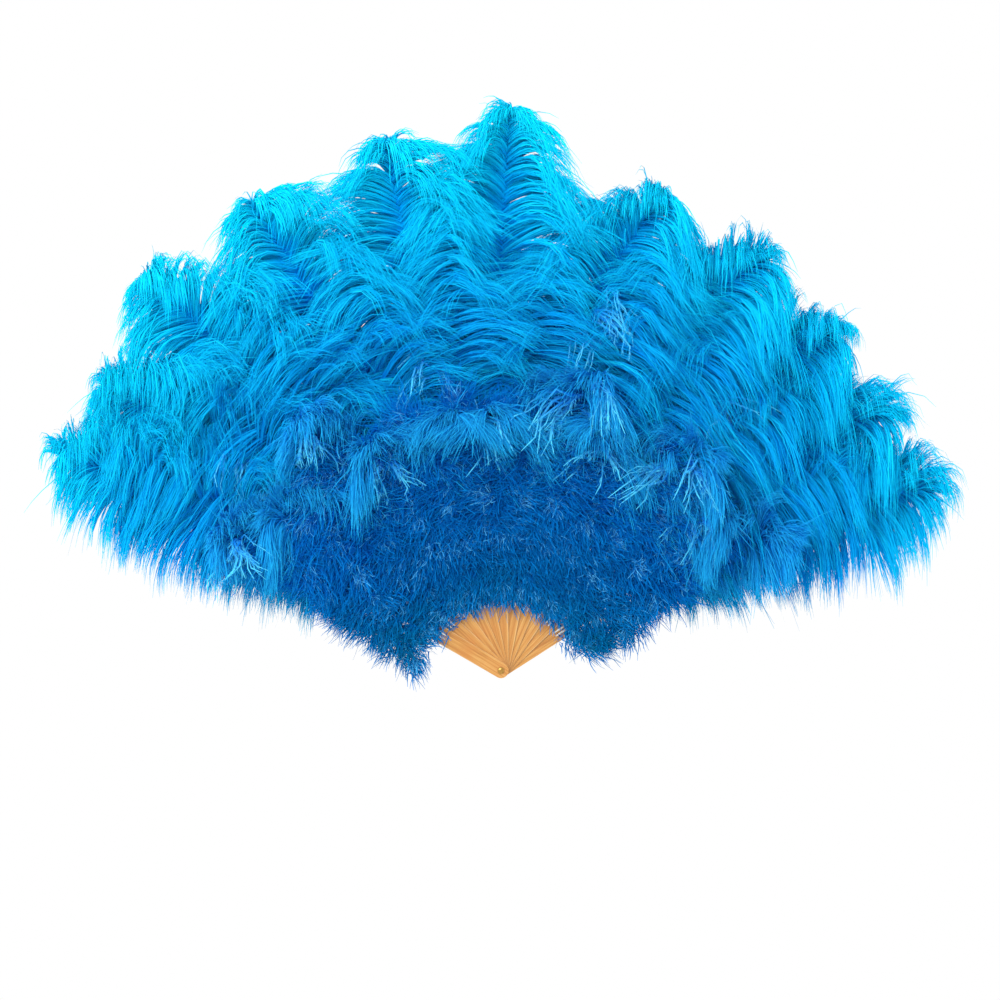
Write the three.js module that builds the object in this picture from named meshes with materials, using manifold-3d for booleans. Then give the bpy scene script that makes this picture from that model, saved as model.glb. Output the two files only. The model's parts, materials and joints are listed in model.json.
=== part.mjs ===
// A very large folding fan of dyed ostrich plumes, standing open.
// Eleven bamboo staves turn on one rivet. Each carries a long plume, a short plume and a tuft of
// marabou down, and a ribbon links each stave to the next.
// Millimetres, +Z up. The origin is on the rivet's axis, +X is to the right and -Y is the front.
//
// Every stave with its feathers fills one layer of the stack. A layer lies between two surfaces
// that are turned about the rivet's axis, so no piece meets another at any angle of the staves.
import * as THREE from 'three';
import { mergeVertices } from 'three/addons/utils/BufferGeometryUtils.js';
import Module from 'manifold-3d';

const wasm = await Module();
wasm.setup();

// The spread of the open fan, in degrees from +X towards +Z
const staveCount = 11;
const openSpreadDegrees = 116;
const middleStaveDegrees = 91;

// Clearances
const pieceGap = 0.3;
const headClearance = 0.4;

// Bamboo staves, measured from the rivet outwards
const headRadius = 12.5;
const staveWidestWidth = 28;
const staveWidestRadius = 118;
const staveTopWidth = 15;
const staveLength = 245;
const staveHeadThickness = 1.4;
const staveTopThickness = 1;
const guardExtraThickness = 1.4;
const guardStepLength = 6;
const splayStart = 30;

// Rivet and washers
const pinRadius = 2;
const pinHoleRadius = 2.4;
const pinHeadRadius = 4.2;
const pinHeadHeight = 1.5;
const washerRadius = 5.6;
const washerThickness = 0.8;

// Link ribbon
const ribbonThickness = 0.3;
const ribbonWidth = 9;
const ribbonRadius = 158;
const ribbonInsetDegrees = 1;

// Quills, which lie side by side on the front of their stave
const quillStart = 105;
const quillPointLength = 12;
const quillHalfWidth = 2.2;
const quillTipHalfWidth = 0.8;
const quillThickness = 2.2;
const quillOffset = 3.1;
const quillForkLength = 17;

// Long plumes. Each has its own length, and its tip points in its own direction.
const longPlumeRadius = 932;
const longPlumeHalfWidth = 130;
const longPlumeLockCount = 6;
const longPlumeTipShares = [0.885, 0.9, 0.945, 0.95, 0.965, 1, 0.905, 0.89, 0.88, 0.86, 0.865];
const longPlumeTipDegrees = [153.5, 144.5, 132.5, 118.5, 102.5, 89, 72.5, 59, 46.5, 34.5, 22];

// Short plumes
const shortPlumeRadius = 565;
const shortPlumeHalfWidth = 92;
const shortPlumeLockCount = 3;
const shortPlumeTipShares = [0.95, 0.9, 1, 0.92, 0.86, 0.93, 0.98, 0.9, 0.96, 0.92, 0.97];

// Marabou tufts
const marabouStart = 118;
const marabouEnd = 405;
const marabouHalfWidth = 92;
const marabouStartHalfWidth = 34;

// The stack of layers: how thick one layer is at each distance from the rivet
const staveTopPitch = 6.4;
const plumePitch = 11;
const plumePitchRadius = 600;
const tipPitch = 14;

// Plumes lean towards the front, more and more towards their tips
const leanStart = 330;
const tipLean = 150;

// A plume's direction turns from that of its stave to that of its tip, slowly at first
const bendPower = 1.4;

// Where the surfaces of a plume lie in its layer, as shares of the depth in front of the stave
const marabouRearShare = 0.24;
const shortPlumeFrontShare = 0.34;
const shortPlumeRearShare = 0.56;
const longPlumeFrontShare = 0.76;

// A blade's half-width, as pairs of the share of its length and the share of its widest
const longBladeShares = [
  [0, 0], [0.05, 0.3], [0.16, 0.66], [0.3, 0.96], [0.7, 1], [0.84, 0.88], [0.92, 0.66], [1, 0.24],
];
const shortBladeShares = [[0, 0], [0.1, 0.42], [0.3, 0.92], [0.7, 1], [0.86, 0.78], [1, 0.28]];

// The barbs gather into locks along both edges of a blade. The edge is notched between two locks,
// and each lock is swept towards the tip and curls forwards, most at its end.
const lockNotchShare = 0.2;
const lockSweepShare = 0.55;
const lockCurlShare = 0.85;
const notchCurlShare = 0.3;
// How far a blade's edges run ahead of its ridge, and at the tip behind it, as shares of its widest
const edgeSweepShares = [[0, 0.3], [0.75, 0.3], [1, -0.15]];
// A blade curls forwards beyond the feathers that lie before it, as shares of their reach
const curlFromShare = 1.08;
const curlFullShare = 1.22;

// How thick a blade is at its ridge, halfway out and at its edge, as shares of its full thickness
const bladeSectionShares = [1, 0.6, 0.25];
const bladeMiddleShare = 0.45;
const ridgeShare = 0.55;
// The side of a plume that hangs lowest is wider, by this share on a level plume
const hangingSideShare = 0.2;

const rowsPerLock = 2;
const arcSegments = 10;
const roundSegments = 20;
const cutOverrun = 1;
const mergeDistance = 1e-5;

const ribbonClearance = ribbonThickness + 2 * pieceGap;
const headPitch = staveHeadThickness + headClearance;
const forkEnd = staveLength + quillForkLength;

const pitchRule = [
  [splayStart, headPitch], [staveLength, staveTopPitch],
  [plumePitchRadius, plumePitch], [longPlumeRadius, tipPitch],
];
const clearanceRule = [[splayStart, headClearance], [quillStart, ribbonClearance]];
const thicknessRule = [[splayStart, staveHeadThickness], [staveLength, staveTopThickness]];

const bamboo = new THREE.MeshStandardMaterial({ color: 0xd09a4c, roughness: 0.5, metalness: 0 });
const brass = new THREE.MeshStandardMaterial({ color: 0xb8963e, roughness: 0.3, metalness: 1 });
const brightDye = new THREE.MeshStandardMaterial({ color: 0x0aa6ea, roughness: 0.8, metalness: 0 });
const middleDye = new THREE.MeshStandardMaterial({ color: 0x0a84d0, roughness: 0.8, metalness: 0 });
const deepDye = new THREE.MeshStandardMaterial({ color: 0x0a5cb4, roughness: 0.9, metalness: 0 });
const satin = new THREE.MeshStandardMaterial({ color: 0x0a72b0, roughness: 0.4, metalness: 0 });

// The value of a rule at one place, straight between its pairs and level beyond its ends
function ruleAt(rule, place) {
  if (place <= rule[0][0]) return rule[0][1];
  for (let k = 1; k < rule.length; k++) {
    const [from, before] = rule[k - 1];
    const [to, after] = rule[k];
    if (place <= to) return before + ((after - before) * (place - from)) / (to - from);
  }
  return rule[rule.length - 1][1];
}

// How far the plumes lean to the front at one distance from the rivet
function leanAt(radius) {
  const share = Math.max(0, radius - leanStart) / (longPlumeRadius - leanStart);
  return tipLean * share * share;
}

// The surface between layer - 1 and layer. Layer 0 is the front one.
function boundaryAt(layer, radius) {
  return (layer - staveCount / 2) * ruleAt(pitchRule, radius) - leanAt(radius);
}

// The rear and front faces of a stave, and the front of the room for feathers before it
function staveRearAt(layer, radius) {
  return boundaryAt(layer + 1, radius) - ruleAt(clearanceRule, radius) / 2;
}
function staveFrontAt(layer, radius) {
  return staveRearAt(layer, radius) - ruleAt(thicknessRule, radius);
}
function featherFrontAt(layer, radius) {
  return boundaryAt(layer, radius) + ruleAt(clearanceRule, radius) / 2;
}
function featherDepthAt(radius) {
  return staveFrontAt(0, radius) - pieceGap - featherFrontAt(0, radius);
}

function closedGeometry(geometry) {
  geometry.deleteAttribute('normal');
  geometry.deleteAttribute('uv');
  return mergeVertices(geometry, mergeDistance);
}

function solidOf(geometry) {
  const closed = closedGeometry(geometry);
  return new wasm.Manifold(new wasm.Mesh({
    numProp: 3,
    vertProperties: Float32Array.from(closed.attributes.position.array),
    triVerts: Uint32Array.from(closed.index.array),
  }));
}

function geometryOf(solid) {
  const mesh = solid.getMesh();
  const geometry = new THREE.BufferGeometry();
  geometry.setAttribute('position', new THREE.BufferAttribute(mesh.vertProperties, mesh.numProp));
  geometry.setIndex(new THREE.BufferAttribute(mesh.triVerts, 1));
  geometry.computeVertexNormals();
  return geometry;
}

// The triangles of a block between a front and a back sheet of corners, row by row. Both sheets are
// cut along the same diagonals, mirrored about the middle, so that they never cross.
function blockTriangles(columns, rows) {
  const triangles = [];
  const corner = (column, row, back) => ((back ? rows + 1 : 0) + row) * (columns + 1) + column;
  const addQuad = (a, b, c, d) => triangles.push(a, b, c, a, c, d);
  for (let row = 0; row < rows; row++) {
    for (let column = 0; column < columns; column++) {
      for (const back of [false, true]) {
        const [a, b] = [corner(column, row, back), corner(column + 1, row, back)];
        const [c, d] = [corner(column + 1, row + 1, back), corner(column, row + 1, back)];
        const around = column < columns / 2 ? [b, c, d, a] : [a, b, c, d];
        addQuad(...(back ? around.reverse() : around));
      }
    }
    const next = row + 1;
    addQuad(corner(0, row, false), corner(0, next, false), corner(0, next, true), corner(0, row, true));
    addQuad(
      corner(columns, row, false), corner(columns, row, true),
      corner(columns, next, true), corner(columns, next, false),
    );
  }
  for (let column = 0; column < columns; column++) {
    const next = column + 1;
    addQuad(corner(column, 0, false), corner(column, 0, true), corner(next, 0, true), corner(next, 0, false));
    addQuad(
      corner(column, rows, false), corner(next, rows, false),
      corner(next, rows, true), corner(column, rows, true),
    );
  }
  return triangles;
}

// A closed block of columns across and rows along. place(column, row, back) gives each corner's
// place: across the stave, from front to rear, and out along it.
function moulded(columns, rows, place) {
  const places = [];
  for (const back of [false, true]) {
    for (let row = 0; row <= rows; row++) {
      for (let column = 0; column <= columns; column++) places.push(...place(column, row, back));
    }
  }
  const block = new THREE.BufferGeometry();
  block.setAttribute('position', new THREE.Float32BufferAttribute(places, 3));
  block.setIndex(blockTriangles(columns, rows));
  block.computeVertexNormals();
  return block;
}

// The outline of a stave: a round head, widening sides, and a narrower round top
function staveOutline() {
  const outline = new THREE.Shape();
  const topRadius = staveTopWidth / 2;
  outline.absarc(0, 0, headRadius, Math.PI, 2 * Math.PI, false);
  outline.lineTo(staveWidestWidth / 2, staveWidestRadius);
  outline.lineTo(topRadius, staveLength - topRadius);
  outline.absarc(0, staveLength - topRadius, topRadius, 0, Math.PI, false);
  outline.lineTo(-staveWidestWidth / 2, staveWidestRadius);
  const hole = new THREE.Path();
  hole.absarc(0, 0, pinHoleRadius, 0, 2 * Math.PI, true);
  outline.holes.push(hole);
  return outline;
}

// The side view of a stave: flat at the head, then straight and thinning towards the top.
// The front guard is thicker up to the quills, and the rear guard along its whole back.
function staveProfile(layer) {
  const frontExtra = layer === 0 ? guardExtraThickness : 0;
  const rearExtra = layer === staveCount - 1 ? guardExtraThickness : 0;
  const foot = -headRadius - cutOverrun;
  const stepEnd = quillStart - cutOverrun;
  const stepStart = stepEnd - guardStepLength;
  const points = [
    [foot, staveRearAt(layer, splayStart) + rearExtra],
    [foot, staveFrontAt(layer, splayStart) - frontExtra],
    [splayStart, staveFrontAt(layer, splayStart) - frontExtra],
    [stepStart, staveFrontAt(layer, stepStart) - frontExtra],
    [stepEnd, staveFrontAt(layer, stepEnd)],
    [quillStart, staveFrontAt(layer, quillStart)],
    [staveLength + cutOverrun, staveFrontAt(layer, staveLength)],
    [staveLength + cutOverrun, staveRearAt(layer, staveLength) + rearExtra],
    [quillStart, staveRearAt(layer, quillStart) + rearExtra],
    [splayStart, staveRearAt(layer, splayStart) + rearExtra],
  ];
  return new THREE.Shape(points.map(([along, depth]) => new THREE.Vector2(along, depth)));
}

// A stave is its outline, cut through the thickness of its side view
function staveGeometry(layer) {
  const stackDepth = 2 * staveCount * staveTopPitch;
  const plan = new THREE.ExtrudeGeometry(staveOutline(), {
    depth: stackDepth,
    bevelEnabled: false,
    curveSegments: arcSegments,
  });
  plan.rotateX(Math.PI / 2);
  plan.translate(0, stackDepth / 2, 0);
  const sideWidth = staveWidestWidth + 2 * cutOverrun;
  const side = new THREE.ExtrudeGeometry(staveProfile(layer), { depth: sideWidth, bevelEnabled: false });
  side.translate(0, 0, -sideWidth / 2);
  side.rotateY(-Math.PI / 2);
  return geometryOf(solidOf(plan).intersect(solidOf(side)));
}

// A plume bends away from its stave's line by the turn, which is widest at its tip
function bentPlace(distance, across, tipRadius, tipTurn) {
  const share = Math.max(0, distance - staveLength) / (tipRadius - staveLength);
  const turn = tipTurn * share ** bendPower;
  return {
    across: distance * Math.sin(turn) + across * Math.cos(turn),
    along: distance * Math.cos(turn) - across * Math.sin(turn),
  };
}

// The rows of a quill from its point to the top of its stave. Every row of a plume has its
// distance from the rivet, its half-width, and the front and rear of its ridge in the feather room.
function quillRows() {
  const distances = [quillStart, quillStart + quillPointLength, ribbonRadius, staveLength];
  return distances.map((distance) => {
    const depth = featherDepthAt(distance);
    return {
      distance,
      halfWidth: distance === quillStart ? quillTipHalfWidth : quillHalfWidth,
      front: depth - Math.min(quillThickness, depth),
      rear: depth,
      sweep: 0,
      curl: 0,
    };
  });
}

// The rows of a blade, from the top of its stave to its tip: by turns a notch and the ends of locks
function bladeRows(plume) {
  const steps = rowsPerLock * plume.lockCount;
  const length = plume.tipRadius - forkEnd;
  const curlRule = [[curlFromShare * plume.coveredRadius, 0], [curlFullShare * plume.coveredRadius, 1]];
  const rows = [];
  for (let step = 0; step <= steps; step++) {
    const share = step / steps;
    const distance = forkEnd + share * length;
    const depth = featherDepthAt(distance);
    const notched = step % rowsPerLock === 0 && step < steps;
    const widthShare = ruleAt(plume.bladeShares, share) * (notched ? 1 - lockNotchShare : 1);
    const edgeSweep = ruleAt(edgeSweepShares, share) * ruleAt(plume.bladeShares, share) * plume.halfWidth;
    const lockSweep = notched ? 0 : (lockSweepShare * (1 - share) * length) / steps;
    rows.push({
      distance,
      halfWidth: Math.max(quillHalfWidth, widthShare * plume.halfWidth),
      front: depth * plume.frontShare,
      rear: depth * plume.rearShare,
      sweep: edgeSweep + lockSweep,
      curl: ruleAt(curlRule, distance) * (notched ? notchCurlShare : lockCurlShare),
    });
  }
  return rows;
}

// A plume is one block: a pointed quill on the stave, then a blade with a ridge along its middle.
// The side that hangs lowest is the wider one.
function plumeGeometry(layer, plume) {
  const rows = [...quillRows(), ...bladeRows(plume)];
  const columnShares = [-1, -bladeMiddleShare, 0, 0, bladeMiddleShare, 1];
  const sides = [-1, -1, -1, 1, 1, 1];
  const sections = [2, 1, 0, 0, 1, 2];
  return moulded(columnShares.length - 1, rows.length - 1, (column, index, back) => {
    const row = rows[index];
    const side = sides[column];
    const reach = Math.abs(columnShares[column]);
    const isBlade = row.halfWidth > quillHalfWidth;
    const hanging = isBlade ? Math.max(0, side * plume.hangingSide) : 0;
    const ridge = ridgeShare * quillHalfWidth * (row.halfWidth < quillHalfWidth ? ridgeShare : 1);
    const widest = row.halfWidth * (1 + hangingSideShare * hanging);
    const across = plume.offset + side * (ridge + (widest - ridge) * reach);
    const distance = row.distance + row.sweep * reach;
    const point = bentPlace(distance, across, plume.tipRadius, plume.tipTurn);
    const radius = Math.hypot(point.across, point.along);
    const middle = ((row.front + row.rear) / 2) * (1 - row.curl * reach ** 2);
    const half = ((row.rear - row.front) / 2) * bladeSectionShares[sections[column]];
    const depth = middle + (back ? half : -half);
    return [point.across, featherFrontAt(layer, radius) + depth, point.along];
  });
}

// The marabou tuft: a pad that widens outwards, as deep as the feather room beside the stave's
// top, and only as deep as its front share in front of the blades
function marabouPad(layer) {
  const beyondStave = [0, 0.5, 0.75, 1].map((share) => forkEnd + share * (marabouEnd - forkEnd));
  const halfway = (ribbonRadius + staveLength) / 2;
  const distances = [marabouStart, ribbonRadius, halfway, staveLength, ...beyondStave];
  const widthShares = [0, 0.35, 0.6, 0.8, 0.9, 1, 0.86, 0.5];
  const columnShares = [-1, -0.6, 0, 0.6, 1];
  const sectionShares = [0.45, 1, 1, 1, 0.45];
  return moulded(columnShares.length - 1, distances.length - 1, (column, row, back) => {
    const distance = distances[row];
    const halfWidth = marabouStartHalfWidth + (marabouHalfWidth - marabouStartHalfWidth) * widthShares[row];
    const across = columnShares[column] * halfWidth;
    const radius = Math.hypot(across, distance);
    const full = featherDepthAt(radius) * (distance < forkEnd ? 1 : marabouRearShare);
    const depth = back ? full * sectionShares[column] : 0;
    return [across, featherFrontAt(layer, radius) + depth, distance];
  });
}

// The channel through the pad for the two quills
function quillChannel(layer) {
  const distances = [marabouStart - 2 * cutOverrun, ribbonRadius, staveLength, forkEnd];
  const halfWidth = quillOffset + quillHalfWidth + pieceGap;
  return moulded(1, distances.length - 1, (column, row, back) => {
    const distance = distances[row];
    const depth = featherDepthAt(distance);
    const quillFront = distance < forkEnd
      ? depth - Math.min(quillThickness, depth)
      : depth * shortPlumeFrontShare;
    const across = column === 0 ? -halfWidth : halfWidth;
    const place = back ? depth + cutOverrun : quillFront - pieceGap;
    return [across, featherFrontAt(layer, distance) + place, distance];
  });
}

function marabouGeometry(layer) {
  return geometryOf(solidOf(marabouPad(layer)).subtract(solidOf(quillChannel(layer))));
}

// A length of ribbon behind one stave and in front of the next plume's quills
function ribbonGeometry(layer) {
  const step = -openSpreadDegrees / (staveCount - 1);
  const ends = [-ribbonInsetDegrees, step + ribbonInsetDegrees].map(THREE.MathUtils.degToRad);
  return moulded(2, 1, (column, row, back) => {
    const turn = -(ends[0] + ((ends[1] - ends[0]) * column) / 2);
    const radius = ribbonRadius + (row - 1 / 2) * ribbonWidth;
    const depth = boundaryAt(layer + 1, radius) + (back ? ribbonThickness : -ribbonThickness) / 2;
    return [radius * Math.sin(turn), depth, radius * Math.cos(turn)];
  });
}

// Turned pieces on the rivet's axis. Their profiles are pairs of radius and place along Y.
function turnedGeometry(profile) {
  const points = profile.map(([radius, place]) => new THREE.Vector2(radius, place));
  return new THREE.LatheGeometry(points, roundSegments);
}

function washerGeometry(from) {
  return turnedGeometry([
    [pinHoleRadius, from],
    [washerRadius, from],
    [washerRadius, from + washerThickness],
    [pinHoleRadius, from + washerThickness],
    [pinHoleRadius, from],
  ]);
}

// The rivet: a shank between two domed heads, each beyond its washer
function pinGeometry(frontFace, rearFace) {
  const reach = 2 * pieceGap + washerThickness;
  const front = frontFace - reach;
  const rear = rearFace + reach;
  const rimHeight = pinHeadHeight / 3;
  const crownRadius = pinHeadRadius / 2;
  return turnedGeometry([
    [0, front - pinHeadHeight],
    [crownRadius, front - pinHeadHeight + rimHeight / 2],
    [pinHeadRadius, front - rimHeight],
    [pinHeadRadius, front],
    [pinRadius, front],
    [pinRadius, rear],
    [pinHeadRadius, rear],
    [pinHeadRadius, rear + rimHeight],
    [crownRadius, rear + pinHeadHeight - rimHeight / 2],
    [0, rear + pinHeadHeight],
  ]);
}

function staveDegrees(layer) {
  return middleStaveDegrees + openSpreadDegrees * (1 / 2 - layer / (staveCount - 1));
}

function staveName(layer) {
  if (layer === 0) return 'front_guard';
  if (layer === staveCount - 1) return 'rear_guard';
  return `stave_${twoDigits(layer + 1)}`;
}

function twoDigits(number) {
  return String(number).padStart(2, '0');
}

function namedMesh(name, geometry, material) {
  const mesh = new THREE.Mesh(geometry, material);
  mesh.name = name;
  return mesh;
}

// One stave with its feathers, turned to its direction in the open fan
function staveAssembly(layer) {
  const direction = THREE.MathUtils.degToRad(staveDegrees(layer));
  const hangingSide = Math.cos(direction);
  const longPlume = {
    tipRadius: longPlumeRadius * longPlumeTipShares[layer],
    tipTurn: direction - THREE.MathUtils.degToRad(longPlumeTipDegrees[layer]),
    halfWidth: longPlumeHalfWidth,
    bladeShares: longBladeShares,
    lockCount: longPlumeLockCount,
    coveredRadius: shortPlumeRadius,
    frontShare: longPlumeFrontShare,
    rearShare: 1,
    offset: -quillOffset,
    hangingSide,
  };
  const shortPlume = {
    tipRadius: shortPlumeRadius * shortPlumeTipShares[layer],
    tipTurn: longPlume.tipTurn / 2,
    halfWidth: shortPlumeHalfWidth,
    bladeShares: shortBladeShares,
    lockCount: shortPlumeLockCount,
    coveredRadius: marabouEnd,
    frontShare: shortPlumeFrontShare,
    rearShare: shortPlumeRearShare,
    offset: quillOffset,
    hangingSide,
  };
  const number = twoDigits(layer + 1);
  const assembly = new THREE.Group();
  assembly.add(namedMesh(staveName(layer), staveGeometry(layer), bamboo));
  assembly.add(namedMesh(`long_plume_${number}`, plumeGeometry(layer, longPlume), brightDye));
  assembly.add(namedMesh(`short_plume_${number}`, plumeGeometry(layer, shortPlume), middleDye));
  assembly.add(namedMesh(`marabou_${number}`, marabouGeometry(layer), deepDye));
  if (layer < staveCount - 1) {
    assembly.add(namedMesh(`link_ribbon_${number}`, ribbonGeometry(layer), satin));
  }
  assembly.rotation.y = Math.PI / 2 - direction;
  return assembly;
}

function rivetAssembly() {
  const frontFace = staveFrontAt(0, 0) - guardExtraThickness;
  const rearFace = staveRearAt(staveCount - 1, 0) + guardExtraThickness;
  const rivet = new THREE.Group();
  rivet.add(namedMesh('rivet_pin', pinGeometry(frontFace, rearFace), brass));
  rivet.add(namedMesh('front_washer', washerGeometry(frontFace - pieceGap - washerThickness), brass));
  rivet.add(namedMesh('rear_washer', washerGeometry(rearFace + pieceGap), brass));
  return rivet;
}

const fan = new THREE.Group();
fan.name = 'feather_fan';
fan.add(rivetAssembly());
for (let layer = 0; layer < staveCount; layer++) fan.add(staveAssembly(layer));

export default fan;
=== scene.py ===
# %% [markdown]
# # A feather fan, dressed
# The frame holds the fan's eleven bamboo staves, its rivet, and plain blades where its feathers go.
# This lesson keeps the bamboo and the rivet, and grows real plumes and down in the place of the
# blades. Everything is in metres, +Z is up, the front is -Y, and the origin is on the rivet.

# %% Load the frame
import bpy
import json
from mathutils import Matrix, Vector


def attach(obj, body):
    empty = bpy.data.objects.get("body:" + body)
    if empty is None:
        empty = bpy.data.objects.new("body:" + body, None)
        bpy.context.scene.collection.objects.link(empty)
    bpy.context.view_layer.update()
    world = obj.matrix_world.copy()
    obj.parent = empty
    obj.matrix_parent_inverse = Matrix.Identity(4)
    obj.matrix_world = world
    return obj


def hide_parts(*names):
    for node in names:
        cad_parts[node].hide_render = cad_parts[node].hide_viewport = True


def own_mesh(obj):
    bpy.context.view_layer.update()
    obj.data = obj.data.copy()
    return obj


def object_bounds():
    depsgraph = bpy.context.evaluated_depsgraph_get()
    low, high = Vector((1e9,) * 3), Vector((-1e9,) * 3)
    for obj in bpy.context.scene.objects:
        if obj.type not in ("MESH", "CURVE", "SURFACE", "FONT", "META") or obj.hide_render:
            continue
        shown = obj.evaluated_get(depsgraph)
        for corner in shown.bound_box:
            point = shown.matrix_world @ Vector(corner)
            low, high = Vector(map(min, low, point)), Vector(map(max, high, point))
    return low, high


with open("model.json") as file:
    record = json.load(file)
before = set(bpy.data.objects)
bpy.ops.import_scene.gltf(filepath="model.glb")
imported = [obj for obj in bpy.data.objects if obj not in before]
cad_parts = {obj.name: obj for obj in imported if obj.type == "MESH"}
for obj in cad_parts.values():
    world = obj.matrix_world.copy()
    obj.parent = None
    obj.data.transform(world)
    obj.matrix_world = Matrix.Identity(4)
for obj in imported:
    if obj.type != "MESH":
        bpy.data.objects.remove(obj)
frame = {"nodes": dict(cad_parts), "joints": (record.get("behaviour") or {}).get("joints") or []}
CAD_BOX = [list(corner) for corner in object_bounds()]

# %% Read the tools that every step needs
import json
import math

import bmesh
import bpy
import numpy as np
from mathutils import Vector
from mathutils.bvhtree import BVHTree

print("CAD box", CAD_BOX)

# %% [markdown]
# ## The camera
# The photograph was taken level, from straight in front, and it shows 1.64 m across the fan. A long
# lens a few metres away gives the same flat view. The camera comes before everything else, because
# it says how large each detail shows.

# %% Place the camera
PHOTO_WIDTH = 1.64
PHOTO_CENTRE = Vector((-0.0016, 0, 0.279))
CAMERA_DISTANCE = 4.2
SENSOR_WIDTH = 36

camera_data = bpy.data.cameras.new("camera")
camera_data.sensor_width = SENSOR_WIDTH
camera_data.lens = SENSOR_WIDTH * CAMERA_DISTANCE / PHOTO_WIDTH
camera = bpy.data.objects.new("camera", camera_data)
camera.location = PHOTO_CENTRE - Vector((0, CAMERA_DISTANCE, 0))
camera.rotation_euler = (math.pi / 2, 0, 0)
bpy.context.scene.collection.objects.link(camera)
bpy.context.scene.camera = camera
print("lens", round(camera_data.lens, 1), "mm")

# %% [markdown]
# ## Shader maths as plain expressions
# A finish is worked out by nodes, but nodes are hard to read as code. A small class wraps a socket,
# so that an expression such as 1 - mask * 0.5 adds its own Math nodes. Colours are mixed by a Mix
# node, because a Math node would turn them grey.

# %% Wrap sockets so that they can be used in expressions
class Wire:
    """A node's output that plain operators work on."""

    def __init__(self, finish, socket):
        self.finish = finish
        self.socket = socket

    def maths(self, operation, *values):
        return self.finish.node("ShaderNodeMath", {"operation": operation}, values)

    def __add__(self, other):
        return self.maths("ADD", self, other)

    def __sub__(self, other):
        return self.maths("SUBTRACT", self, other)

    def __rsub__(self, other):
        return self.maths("SUBTRACT", other, self)

    def __mul__(self, other):
        return self.maths("MULTIPLY", self, other)

    def __truediv__(self, other):
        return self.maths("DIVIDE", self, other)

    def __pow__(self, other):
        return self.maths("POWER", self, other)

    __radd__ = __add__
    __rmul__ = __mul__


class Finish:
    """A material: its Principled shader, and one method that adds any other node."""

    def __init__(self, name, **constants):
        self.material = bpy.data.materials.new(name)
        self.material.use_nodes = True
        self.nodes = self.material.node_tree.nodes
        self.links = self.material.node_tree.links
        self.shader = next(n for n in self.nodes if n.type == "BSDF_PRINCIPLED")
        for socket, value in constants.items():
            self.shader.inputs[socket.replace("_", " ").title()].default_value = value

    def node(self, kind, settings=None, inputs=(), output=0):
        made = self.nodes.new(kind)
        settings = dict(settings or {})
        stops = settings.pop("stops", None)
        for name, value in settings.items():
            setattr(made, name, value)
        if stops:
            self.set_stops(made.color_ramp, stops)
        pairs = inputs.items() if isinstance(inputs, dict) else enumerate(inputs)
        for place, value in pairs:
            self.feed(made.inputs[place], value)
        return Wire(self, made.outputs[output])

    def feed(self, socket, value):
        if isinstance(value, Wire):
            self.links.new(value.socket, socket)
        else:
            socket.default_value = value

    def set_stops(self, ramp, stops):
        for place, (share, colour) in enumerate(stops):
            stop = ramp.elements[place] if place < 2 else ramp.elements.new(share)
            stop.position = share
            stop.color = colour

    def mix(self, share, first, second):
        settings = {"data_type": "RGBA"}
        return self.node("ShaderNodeMix", settings, {0: share, 6: first, 7: second}, output=2)

    def ramp(self, share, stops):
        return self.node("ShaderNodeValToRGB", {"stops": stops}, [share])

    def place(self):
        return self.node("ShaderNodeTexCoord", output="Object")

    def part(self, vector, axis):
        """One of a vector's numbers: axis is X, Y or Z."""
        return self.node("ShaderNodeSeparateXYZ", {}, [vector], output=axis)

    def length(self, vector):
        settings = {"operation": "LENGTH"}
        return self.node("ShaderNodeVectorMath", settings, [vector], output="Value")

    def stretch(self, place, scales):
        return self.node("ShaderNodeVectorMath", {"operation": "MULTIPLY"}, [place, scales])

    def noise(self, place, scale, detail=3.0):
        inputs = {"Vector": place, "Scale": scale, "Detail": detail}
        return self.node("ShaderNodeTexNoise", {}, inputs)

    def uneven(self, place, scale):
        """Smooth noise along one line."""
        inputs = {"W": place, "Scale": scale}
        return self.node("ShaderNodeTexNoise", {"noise_dimensions": "1D"}, inputs)

    def clamp(self, value):
        return self.node("ShaderNodeClamp", {}, [value])

    def bump(self, height, distance, strength=1.0):
        inputs = {"Height": height, "Distance": distance, "Strength": strength}
        self.feed(self.shader.inputs["Normal"], self.node("ShaderNodeBump", {}, inputs))


def linear_light(shown):
    """One channel as it shows on a screen, from 0 to 255, as the linear light that nodes use."""
    return shown / 255 / 12.92 if shown < 10 else ((shown / 255 + 0.055) / 1.055) ** 2.4


def dye(red, green, blue):
    return (linear_light(red), linear_light(green), linear_light(blue), 1.0)


# %% [markdown]
# ## The dyed feathers
# One dye colours all the feathers, and the colour follows the distance from the rivet: deep blue
# on the down in the middle of the fan, bright cyan at the ends of the long plumes. This is partly
# the dye and partly painted light: the dense middle is painted darker as its shade, and the thin
# ends brighter as the light that comes through them. Painted highlights make a barb lighter
# towards its tip and where it arches over, and painted shade darkens it near the shaft. Barbs and
# locks also differ at random in tone, which is laid on through the same painted light and shade.
# The strips that make the barbs lie in bands on their own UV map, so a fraction of its height says
# where a point is along its barb.

# %% Make the feather finish
UV_NAME = "OFBake"
BANDS = 20
BAND_MARGIN = 0.04
# The share of a barb's length at which it arches over, where its painted highlight is strongest
CREST_AT = 0.42
# The stops of the dye and of its painted light and shade run from the rivet (0) to the ends of
# the longest plumes (1), this far out
DYE_REACH = 0.93
DYE_AND_LIGHT_STOPS = [
    (0.0, dye(0, 94, 142)),
    (0.13, dye(0, 102, 164)),
    (0.22, dye(0, 93, 168)),
    (0.42, dye(0, 105, 198)),
    (0.62, dye(0, 144, 238)),
    (0.8, dye(0, 208, 255)),
    (1.0, dye(0, 232, 255)),
]
# The colour of the painted shade
SHADOW_DYE = dye(0, 62, 152)
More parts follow.
